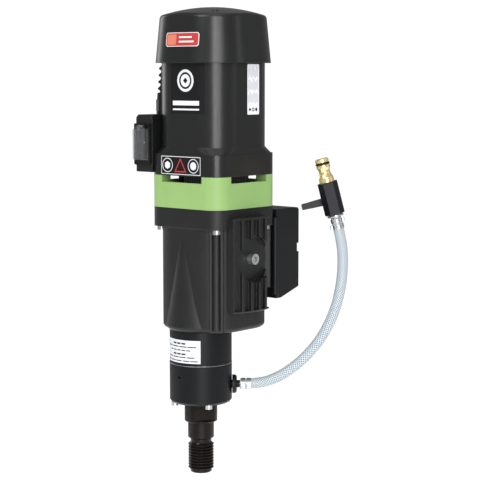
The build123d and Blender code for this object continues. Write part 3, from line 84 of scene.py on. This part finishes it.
def node(tree, kind, **values):
    """A new shader node, with its sockets or its own settings given by name."""
    made = tree.nodes.new(kind)
    for key, value in values.items():
        if key in made.inputs:
            made.inputs[key].default_value = value
        else:
            setattr(made, key, value)
    return made


def material(name, colour, roughness, metallic=0.0, grain=900.0, bump=0.05, spread=0.06, mottle=0.08,
             edge=0.0, transmission=0.0, alpha=1.0, stretch=(1, 1, 1), level=0.5):
    """A procedural finish: mottled colour, uneven gloss, a fine bump and, if asked, softened edges."""
    made = bpy.data.materials.new(name)
    made.use_nodes = True
    tree = made.node_tree
    shader = tree.nodes["Principled BSDF"]
    shader.inputs["Metallic"].default_value = metallic
    shader.inputs["Transmission Weight"].default_value = transmission
    shader.inputs["Alpha"].default_value = alpha
    shader.inputs["Specular IOR Level"].default_value = level
    place = node(tree, "ShaderNodeTexCoord")
    scale = node(tree, "ShaderNodeMapping")
    scale.inputs["Scale"].default_value = stretch
    fine = node(tree, "ShaderNodeTexNoise", Scale=grain, Detail=4.0, Roughness=0.6)
    broad = node(tree, "ShaderNodeTexNoise", Scale=MOTTLE_SCALE, Detail=5.0, Roughness=0.65)
    links(tree, (place.outputs["Object"], scale.inputs["Vector"]),
          (scale.outputs["Vector"], fine.inputs["Vector"]),
          (place.outputs["Object"], broad.inputs["Vector"]))
    tone = node(tree, "ShaderNodeValToRGB")
    shades = ([c * (1 - mottle) for c in colour], [min(1, c * (1 + mottle)) for c in colour])
    for stop, position, shade in zip(tone.color_ramp.elements, TONE_STOPS, shades):
        stop.position = position
        stop.color = (*shade, 1)
    links(tree, (broad.outputs["Fac"], tone.inputs["Fac"]))
    links(tree, (tone.outputs["Color"], shader.inputs["Base Color"]))
    gloss = node(tree, "ShaderNodeMapRange")
    gloss.inputs["To Min"].default_value = max(GLOSSIEST, roughness - spread)
    gloss.inputs["To Max"].default_value = min(1, roughness + spread)
    links(tree, (broad.outputs["Fac"], gloss.inputs["Value"]),
          (gloss.outputs["Result"], shader.inputs["Roughness"]))
    relief = node(tree, "ShaderNodeBump", Strength=bump, Distance=RELIEF_DEPTH)
    links(tree, (fine.outputs["Fac"], relief.inputs["Height"]),
          (relief.outputs["Normal"], shader.inputs["Normal"]))
    if edge:
        soft = node(tree, "ShaderNodeBevel", samples=4, Radius=edge)
        links(tree, (soft.outputs["Normal"], relief.inputs["Normal"]))
    return made


casting = material("charcoal_casting", (0.0060, 0.0062, 0.0068), 0.44, grain=1500, bump=0.40, spread=0.05,
                   edge=0.0022, mottle=0.10, level=0.42)
moulding = material("charcoal_moulding", (0.0070, 0.0073, 0.0076), 0.29, grain=2600, bump=0.10, spread=0.03,
                    edge=0.0012, mottle=0.06, level=0.5)
dark_casting = material("dark_casting", (0.0045, 0.0050, 0.0058), 0.42, grain=1500, bump=0.18, edge=0.0012,
                        level=0.28)
collar_paint = material("collar_paint", (0.0045, 0.0050, 0.0060), 0.38, grain=1800, bump=0.10, edge=0.0008,
                        level=0.2)
green = material("green_ring", (0.205, 0.335, 0.112), 0.42, grain=1700, bump=0.10, edge=0.0006, mottle=0.03,
                 level=0.3)
black = material("black_plastic", (0.0045, 0.0045, 0.0050), 0.45, grain=1600, bump=0.15, edge=0.0004,
                 level=0.25)
rubber = material("black_rubber", (0.0045, 0.0045, 0.0045), 0.62, grain=1100, bump=0.25, edge=0.0004,
                  level=0.25)
oxide = material("black_oxide", (0.0060, 0.0042, 0.0034), 0.15, grain=700, bump=0.08, edge=0.0003,
                 mottle=0.25, spread=0.04, stretch=(1, 1, 3), level=0.20)
steel = material("ground_steel", (0.32, 0.32, 0.33), 0.30, metallic=1.0, bump=0.06, edge=0.0002,
                 stretch=(1, 1, 6))
zinc = material("zinc_plate", (0.60, 0.61, 0.62), 0.30, metallic=0.9, grain=800, bump=0.06, edge=0.0003)
brass = material("turned_brass", (0.86, 0.66, 0.34), 0.30, metallic=0.8, grain=500, bump=0.05, edge=0.0003,
                 stretch=(1, 1, 9), mottle=0.06)
copper = material("lacquered_copper", (0.45, 0.16, 0.07), 0.30, metallic=0.9, grain=1200, bump=0.3,
                  stretch=(1, 1, 8))
valve_black = material("valve_black", (0.0055, 0.0048, 0.0090), 0.34, bump=0.12, edge=0.0005,
                       level=0.2)
lever_grey = material("lever_grey", (0.010, 0.010, 0.011), 0.42, grain=1200, bump=0.12, edge=0.0003,
                      level=0.3)
clear = material("clear_cover", (0.55, 0.58, 0.60), 0.08, grain=300, bump=0.03, transmission=0.9,
                 alpha=0.32)
carbon = material("carbon", (0.03, 0.03, 0.03), 0.6, grain=1500, bump=0.2)
lamination = material("laminations", (0.22, 0.22, 0.24), 0.4, metallic=0.9, grain=800, bump=0.3,
                      stretch=(1, 1, 30))
board = material("circuit_board", (0.02, 0.12, 0.05), 0.35, bump=0.1)
plate_black = material("plate_black", (0.0050, 0.0050, 0.0060), 0.42, bump=0.03, level=0.25)
print_white = material("print_white", (0.55, 0.56, 0.58), 0.5, bump=0.02, mottle=0.02, level=0.25)
print_grey = material("print_grey", (0.15, 0.15, 0.16), 0.5, bump=0.02, mottle=0.02, level=0.2)
print_dark = material("print_dark", (0.02, 0.02, 0.022), 0.5, bump=0.02, mottle=0.02, level=0.2)
foil = material("silver_foil", (0.60, 0.61, 0.64), 0.45, bump=0.03, mottle=0.03, level=0.3)
red = material("print_red", (0.36, 0.030, 0.026), 0.45, bump=0.02, mottle=0.04, level=0.25)
light_red = material("print_light_red", (0.50, 0.14, 0.09), 0.45, bump=0.02, mottle=0.04, level=0.25)
dark_hole = material("dark_hole", (0.002, 0.002, 0.002), 0.8, bump=0.02, level=0.1)

finishes = {
    casting: "gearbox_housing finned_side_cover",
    moulding: "motor_housing top_cap switch_box",
    dark_casting: "mounting_block",
    collar_paint: "spindle_neck water_collar",
    green: "intermediate_ring",
    black: "cooling_fan switch_bezel rocker_switch cover_hinge_lugs cable_gland selector_knob "
           "brush_holders air_guide water_inlet",
    rubber: "kink_boot water_seals",
    oxide: "spindle",
    steel: "rotor_shaft layshaft layshaft_gears spindle_low_gear spindle_high_gear dog_sleeve fork_rail "
           "shift_fork selector_shaft spindle_lower_bearing spindle_spacer spindle_needle_bearing "
           "layshaft_bearings rotor_bearings bearing_retaining_ring bearing_plate brush_springs neck_gasket",
    zinc: "housing_screws block_screws collar_screws cap_screws side_cover_screw valve_ball lever_screw "
          "hose_clamps hose_tail",
    brass: "brass_nipple",
    copper: "commutator armature_windings field_windings",
    valve_black: "valve_body",
    lever_grey: "valve_lever",
    clear: "switch_cover",
    carbon: "carbon_brushes",
    lamination: "rotor_core stator_core",
    board: "electronics_module",
}
for finish, names in finishes.items():
    for name in names.split():
        slots = nodes[name].data.materials
        if not slots:
            slots.append(finish)
        for number in range(len(slots)):
            slots[number] = finish


# ---------------------------------------------------------------- mesh helpers
def piece(name, verts, faces, finish, body, smooth=True):
    """A mesh piece in the row frame that rides on a body."""
    mesh = bpy.data.meshes.new(name)
    mesh.from_pydata([tuple(v) for v in verts], [], faces)
    mesh.update()
    if smooth:
        mesh.shade_smooth()
    mesh.materials.append(finish)
    obj = bpy.data.objects.new(name, mesh)
    scene.collection.objects.link(obj)
    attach(obj, body)
    return obj


def grid(columns, rows):
    """The quads of a grid of vertices laid out row by row."""
    corners = [r * columns + c for r in range(rows - 1) for c in range(columns - 1)]
    return [(n, n + 1, n + columns + 1, n + columns) for n in corners]


# ---------------------------------------------------------------- hose
HOSE_AZIMUTH = radians(131)
SPINDLE_Y = -126.0
MOTOR_Y = -102.0
hose_run = [(48, -162.4), (72, -162.4), (96, -154), (118.5, -138.5), (138, -119), (153, -97), (165, -70),
            (171.6, -41), (174, -12), (171.85, 14.82), (164.69, 42.92)]
HOSE_DIAMETER = 0.013
POINTS_PER_SPAN = 16


def at_reach(reach, z):
    """A point of the hose's upright plane."""
    return Vector((reach * sin(HOSE_AZIMUTH), SPINDLE_Y - reach * cos(HOSE_AZIMUTH), z)) * MM


hose_line = bpy.data.curves.new("hose_line", "CURVE")
hose_line.dimensions = "3D"
spline = hose_line.splines.new("NURBS")
spline.points.add(len(hose_run) - 1)
for point, (reach, z) in zip(spline.points, hose_run):
    point.co = (*at_reach(reach, z), 1)
spline.order_u = 3
spline.use_endpoint_u = True
hose_line.resolution_u = POINTS_PER_SPAN
line_object = bpy.data.objects.new("hose_line", hose_line)
scene.collection.objects.link(line_object)
read_back = bpy.data.meshes.new_from_object(line_object)
hose_path = [v.co.copy() for v in read_back.vertices]
bpy.data.objects.remove(line_object)
if (hose_path[0] - at_reach(*hose_run[0])).length > (hose_path[-1] - at_reach(*hose_run[0])).length:
    hose_path.reverse()
across = Vector((cos(HOSE_AZIMUTH), sin(HOSE_AZIMUTH), 0))


def tube_along(name, path, radius, finish, body, sides=40):
    """A round tube along a flat path, with a UV map of length by turn."""
    verts, spots, run = [], [], 0.0
    for number, here in enumerate(path):
        before, after = path[max(0, number - 1)], path[min(len(path) - 1, number + 1)]
        ahead = (after - before).normalized()
        up = ahead.cross(across).normalized()
        run += (here - before).length
        for side in range(sides + 1):
            turn = 2 * pi * side / sides
            verts.append(here + radius * (cos(turn) * across + sin(turn) * up))
            spots.append((run / MM, side / sides))
    tube = piece(name, verts, grid(sides + 1, len(path)), finish, body)
    layer = tube.data.uv_layers.new(name="along")
    for loop in tube.data.loops:
        layer.data[loop.index].uv = spots[loop.vertex_index]
    return tube


BRAID_PER_MM = 0.30
BRAID_PER_TURN = 12.0
THREAD_EDGES = (0.30, 0.42)


def hose_material():
    """Clear hose with a crossed white braid inside."""
    made = bpy.data.materials.new("braided_hose")
    made.use_nodes = True
    tree = made.node_tree
    shader = tree.nodes["Principled BSDF"]
    shader.inputs["Roughness"].default_value = 0.16
    shader.inputs["Transmission Weight"].default_value = 0.15
    shader.inputs["Specular IOR Level"].default_value = 0.25
    shader.inputs["Coat Weight"].default_value = 0.1
    shader.inputs["Coat Roughness"].default_value = 0.08
    place = node(tree, "ShaderNodeUVMap", uv_map="along")
    parts = node(tree, "ShaderNodeSeparateXYZ")
    links(tree, (place.outputs["UV"], parts.inputs["Vector"]))
    threads = []
    for sense in (1, -1):
        along = node(tree, "ShaderNodeMath", operation="MULTIPLY")
        along.inputs[1].default_value = sense * BRAID_PER_MM
        around = node(tree, "ShaderNodeMath", operation="MULTIPLY")
        around.inputs[1].default_value = BRAID_PER_TURN
        both = node(tree, "ShaderNodeMath", operation="ADD")
        wave = node(tree, "ShaderNodeMath", operation="PINGPONG")
        wave.inputs[1].default_value = 0.5
        sharp = node(tree, "ShaderNodeMapRange")
        sharp.inputs["From Min"].default_value, sharp.inputs["From Max"].default_value = THREAD_EDGES
        links(tree, (parts.outputs["X"], along.inputs[0]), (parts.outputs["Y"], around.inputs[0]),
              (along.outputs[0], both.inputs[0]), (around.outputs[0], both.inputs[1]),
              (both.outputs[0], wave.inputs[0]), (wave.outputs[0], sharp.inputs["Value"]))
        threads.append(sharp)
    weave = node(tree, "ShaderNodeMath", operation="MAXIMUM")
    for thread, socket in zip(threads, weave.inputs):
        links(tree, (thread.outputs["Result"], socket))
    tone = node(tree, "ShaderNodeValToRGB")
    tone.color_ramp.elements[0].color = (0.17, 0.22, 0.26, 1)
    tone.color_ramp.elements[1].color = (0.60, 0.65, 0.68, 1)
    relief = node(tree, "ShaderNodeBump", Strength=0.25, Distance=0.0003)
    links(tree, (weave.outputs[0], tone.inputs["Fac"]), (tone.outputs["Color"], shader.inputs["Base Color"]),
          (weave.outputs[0], relief.inputs["Height"]), (relief.outputs["Normal"], shader.inputs["Normal"]))
    return made


hose = tube_along("water_hose_braided", hose_path, HOSE_DIAMETER / 2, hose_material(), "machine")
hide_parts("water_hose")


# ---------------------------------------------------------------- labels, each a thin skin
class Casing:
    """The upright wall of a rounded square about the motor axis, read by length round from the front."""

    def __init__(self, half, corner, rim=0.0, slope=0.0):
        self.half, self.corner, self.rim, self.slope = half, corner, rim, slope

    def point(self, s, z, lift):
        inset = (z - self.rim) * self.slope
        half, corner = self.half - inset, self.corner - inset
        flat = half - corner
        arc = corner * pi / 2
        if s < 0:
            x, y, z = self.point(-s, z, lift)
            return (-x, y, z)
        if s <= flat:
            return (s, MOTOR_Y - half - lift, z)
        if s <= flat + arc:
            turn = (s - flat) / corner
            reach = corner + lift
            return (flat + reach * sin(turn), MOTOR_Y - flat - reach * cos(turn), z)
        return (half + lift, MOTOR_Y - flat + (s - flat - arc), z)


class Round:
    """The wall of a round collar about the spindle axis, read by length round from the front."""

    def __init__(self, radius):
        self.radius = radius

    def point(self, s, z, lift):
        turn = s / self.radius
        return ((self.radius + lift) * sin(turn), SPINDLE_Y - (self.radius + lift) * cos(turn), z)


STEP = 1.5


def patch(name, wall, low, high, lift, finish, step=STEP, corner=0.0):
    """A rounded rectangle of thin skin on a wall, from low to high as (length round, z)."""
    width, height = high[0] - low[0], high[1] - low[1]
    columns, rows = max(2, ceil(width / step) + 1), max(2, ceil(height / step) + 1)
    verts = []
    for r in range(rows):
        for c in range(columns):
            s, z = low[0] + width * c / (columns - 1), low[1] + height * r / (rows - 1)
            if corner:
                inner_s = min(max(s, low[0] + corner), high[0] - corner)
                inner_z = min(max(z, low[1] + corner), high[1] - corner)
                away = hypot(s - inner_s, z - inner_z)
                if away > corner:
                    s = inner_s + (s - inner_s) * corner / away
                    z = inner_z + (z - inner_z) * corner / away
            verts.append(Vector(wall.point(s, z, lift)) * MM)
    return piece(name, verts, grid(columns, rows), finish, "machine")


def disc(name, wall, centre, radius, lift, finish, sides=32, inner=0.0, turn=90.0):
    """A disc, polygon or ring of thin skin on a wall."""
    verts, rings = [], max(2, ceil((radius - inner) / STEP) + 1)
    for ring in range(rings):
        reach = inner + (radius - inner) * ring / (rings - 1)
        for side in range(sides + 1):
            angle = radians(turn) + 2 * pi * side / sides
            verts.append(Vector(wall.point(centre[0] + reach * cos(angle), centre[1] + reach * sin(angle),
                                           lift)) * MM)
    return piece(name, verts, grid(sides + 1, rings), finish, "machine")


def name_panel(wall, lift=0.12, print_lift=0.22, inlay_lift=0.30):
    """A black panel with a ringed emblem over two plain bars."""
    patch("name_panel", wall, (-18.4, 169), (33.5, 228.5), lift, plate_black, corner=1.5)
    centre = (5.5, 208.5)
    disc("panel_emblem", wall, centre, 13.2, print_lift, print_white, sides=40)
    disc("panel_emblem_ring", wall, centre, 10.0, inlay_lift, plate_black, sides=40,
         inner=7.6)
    disc("panel_emblem_dot", wall, centre, 3.6, inlay_lift, plate_black, sides=4, turn=0)
    left, right = -15, 26.5
    patch("panel_bar_wide", wall, (left, 179.2), (right, 184.6), print_lift, print_white)
    patch("panel_bar_thin", wall, (left, 173.4), (right, 175.4), print_lift, print_white)


def type_plate(wall, low=93.5, high=115.0, lift=0.12, print_lift=0.18):
    """A foil plate with nine upright rows of three plain lines, and three marks under them."""
    patch("type_plate", wall, (low, 168), (high, 228), lift, foil, corner=0.8)
    margin, pitch, thick = 2.0, 2.0, 0.5
    first_z, part_pitch, shortest = 181, 15.2, 10.0
    for row in range(9):
        for part in range(3):
            s = low + margin + row * pitch
            z = first_z + part * part_pitch + (row * 5) % 3
            reach = shortest + (row * 7 + part * 3) % 4
            patch(f"type_line_{row}_{part}", wall, (s, z), (s + thick, z + reach), print_lift, print_grey,
                  step=4)
    marks = ((4.6, 4, 0), (10.6, 24, 1.2), (16.4, 6, 0))
    for number, (along, sides, inner) in enumerate(marks):
        disc(f"type_mark_{number}", wall, (low + along, 174), 2.3, print_lift, print_dark,
             sides=sides, inner=inner)


def sign_strip(wall, lift=0.12, field_lift=0.20, print_lift=0.28):
    """A white-edged black strip with two ringed dots and a plain triangle."""
    patch("sign_strip", wall, (-33, 96.6), (31, 118.4), lift, print_white, corner=0.6)
    patch("sign_field", wall, (-32.2, 97.4), (30.2, 117.6), field_lift, plate_black,
          corner=0.4)
    for number, (s, sides) in enumerate(((-22.5, 6), (19.5, 32))):
        centre = (s, 107.5)
        disc(f"sign_ring_{number}", wall, centre, 8.6, print_lift, print_white, sides=40, inner=7.7)
        disc(f"sign_dot_{number}", wall, centre, 4.8, print_lift, print_white, sides=sides)
    disc("sign_triangle", wall, (-1.5, 105.2), 11.4, print_lift, red, sides=3, inner=8.6)


def cap_sticker(wall, lift=0.12, field_lift=0.20, print_lift=0.28):
    """A white-edged red sticker with a lighter field beside two plain bars."""
    patch("cap_sticker", wall, (-20, 248.5), (31, 265), lift, print_white, corner=3)
    patch("cap_sticker_field", wall, (-19, 249.3), (30, 264.2), field_lift, red, corner=2.4)
    patch("cap_sticker_side", wall, (-17.5, 250.6), (-3, 262.9), print_lift, light_red,
          corner=2)
    left, thick = 1, 2.0
    for number, (z, right) in enumerate(((253.2, 24), (258.4, 21))):
        patch(f"cap_sticker_bar_{number}", wall, (left, z), (right, z + thick), print_lift, print_white)


def neck_label(wall, lift=0.10, print_lift=0.16):
    """A white label with six rows of plain dashes, two of them thicker."""
    low, high = radians(-49) * wall.radius, radians(42) * wall.radius
    patch("neck_label", wall, (low, -130.6), (high, -102.6), lift, print_white)
    middle, top, pitch, margin, gap = (low + high) / 2 + 2, -105.8, 4.3, 1.5, 1.4
    thick, thin = 2.0, 1.2
    rows = ((0.40, thick), (0.86, thin), (0.62, thin), (0.40, thick), (0.78, thin), (0.92, thin))
    for row, (share, height) in enumerate(rows):
        z = top - pitch * row
        half = share * (high - low) / 2 - margin
        words = 3 + row % 3
        for word in range(words):
            first = middle - half + 2 * half * word / words
            last = first + 2 * half / words - gap
            patch(f"neck_line_{row}_{word}", wall, (first, z - height), (last, z), print_lift, print_dark)


tube_wall = Casing(half=55.5, corner=38)
foot_wall = Casing(half=57.4, corner=21)
cap_wall = Casing(half=64.2, corner=50, rim=229.5, slope=5.5 / 56.5)
name_panel(tube_wall)
type_plate(tube_wall)
sign_strip(foot_wall)
cap_sticker(cap_wall)
neck_label(Round(38.0))


# ---------------------------------------------------------------- small turned pieces
def ring(name, centre, axis, radius, thick, finish, body, slot, sides=48, around=12):
    """A torus about an axis."""
    axis = Vector(axis).normalized()
    side = axis.orthogonal().normalized()
    other = axis.cross(side)
    verts = []
    for a in range(sides + 1):
        turn = 2 * pi * a / sides
        out = cos(turn) * side + sin(turn) * other
        for b in range(around + 1):
            tilt = 2 * pi * b / around
            verts.append(Vector(centre) + out * (radius + thick * cos(tilt)) + axis * (thick * sin(tilt)))
    return piece(name, verts, grid(around + 1, sides + 1), finish, body)


LEAN = radians(14.3)
VALVE_REACH, VALVE_Z = 163.7, 46.8
O_RING_HEIGHT = 0.0635
O_RING_RADIUS, O_RING_THICK = 0.00785, 0.0011
valve_base = at_reach(VALVE_REACH, VALVE_Z)
valve_up = (at_reach(VALVE_REACH - sin(LEAN), VALVE_Z + cos(LEAN)) - valve_base).normalized()
ring("nipple_o_ring", valve_base + valve_up * O_RING_HEIGHT, valve_up, O_RING_RADIUS, O_RING_THICK, rubber,
     "machine", "black_rubber")

GASKET_Z = -134.2
GASKET_RADIUS, GASKET_THICK = 0.03815, 0.0003
ring("gasket_edge", Vector((0, SPINDLE_Y, GASKET_Z)) * MM, (0, 0, 1), GASKET_RADIUS, GASKET_THICK, steel,
     "machine", "steel")

COLLAR_RADIUS = 38.2
LEAK_HOLE = (-1.3, -149.2)
LEAK_RADIUS, LEAK_LIFT = 1.5, 0.05
disc("leak_hole_shade", Round(COLLAR_RADIUS), LEAK_HOLE, LEAK_RADIUS, LEAK_LIFT, dark_hole,
     sides=24)


SLOT_BOTTOM, SLOT_TOP = 87.2, 94.9
RIB_PITCH, RIB_WIDTH = 2.9, 1.3
RIB_LIFTS = (-6.5, -1.0)
BLADE_FACES = ((0, 1, 3, 2), (4, 6, 7, 5), (0, 4, 5, 1), (2, 3, 7, 6), (0, 2, 6, 4), (1, 5, 7, 3))


def slot_ribs(name, wall, low, high):
    """The upright ribs that guard a slot, each a thin blade just inside the wall."""
    verts, faces = [], []
    s = low
    while s <= high:
        first = len(verts)
        for z in (SLOT_BOTTOM, SLOT_TOP):
            for lift in RIB_LIFTS:
                for edge in (-RIB_WIDTH / 2, RIB_WIDTH / 2):
                    verts.append(Vector(wall.point(s + edge, z, lift)) * MM)
        faces += [tuple(first + n for n in face) for face in BLADE_FACES]
        s += RIB_PITCH
    return piece(name, verts, faces, black, "machine", smooth=False)


slot_ribs("slot_ribs_front", foot_wall, 4, 31)
slot_ribs("slot_ribs_right", foot_wall, 74.5, 101)


# ---------------------------------------------------------------- floor and light
floor_mesh = bpy.data.meshes.new("floor")
SPAN = 2.2
FLOOR_Z = -0.75
floor_mesh.from_pydata([(x * SPAN, y * SPAN, FLOOR_Z) for x, y in ((-1, -1), (1, -1), (1, 1), (-1, 1))],
                       [], [(0, 1, 2, 3)])
floor_mesh.materials.append(material("floor_white", (1.0, 1.0, 1.0), 0.9, bump=0.0, mottle=0.0, level=0.1))
floor = bpy.data.objects.new("floor", floor_mesh)
scene.collection.objects.link(floor)

# The backdrop is white, and the room that the object reflects is dimmer.
BACKDROP_STRENGTH = 1.05
ROOM_STRENGTH = 0.30
world = bpy.data.worlds.new("studio")
world.use_nodes = True
sky = world.node_tree
backdrop = sky.nodes["Background"]
backdrop.inputs["Color"].default_value = (1, 1, 1, 1)
backdrop.inputs["Strength"].default_value = BACKDROP_STRENGTH
room = node(sky, "ShaderNodeBackground")
room.inputs["Color"].default_value = (1, 1, 1, 1)
room.inputs["Strength"].default_value = ROOM_STRENGTH
seen = node(sky, "ShaderNodeLightPath")
chosen = node(sky, "ShaderNodeMixShader")
links(sky, (seen.outputs["Is Glossy Ray"], chosen.inputs[0]), (backdrop.outputs[0], chosen.inputs[1]),
      (room.outputs[0], chosen.inputs[2]), (chosen.outputs[0], sky.nodes["World Output"].inputs["Surface"]))
scene.world = world


LIT_MIDDLE = Vector((0.0, -0.1, 0.05))


def softbox(name, azimuth, elevation, distance, size, power):
    """An area light at a direction from the motor, aimed at it."""
    data = bpy.data.lights.new(name, "AREA")
    data.shape = "RECTANGLE"
    data.size, data.size_y = size
    data.energy = power
    light = bpy.data.objects.new(name, data)
    scene.collection.objects.link(light)
    look_from(light, LIT_MIDDLE + distance * heading(radians(azimuth), radians(elevation)), LIT_MIDDLE)


softbox("strip_left", 44, 10, 2.6, (0.07, 2.0), 24)
softbox("strip_right", 58, 10, 2.6, (0.07, 2.0), 15)
softbox("key", 2, 38, 2.6, (1.2, 1.2), 22)
softbox("side", 118, 20, 2.6, (0.5, 1.6), 3)
softbox("top", 40, 80, 2.4, (1.6, 1.6), 9)
softbox("back", 268, 12, 2.6, (1.0, 1.4), 9)
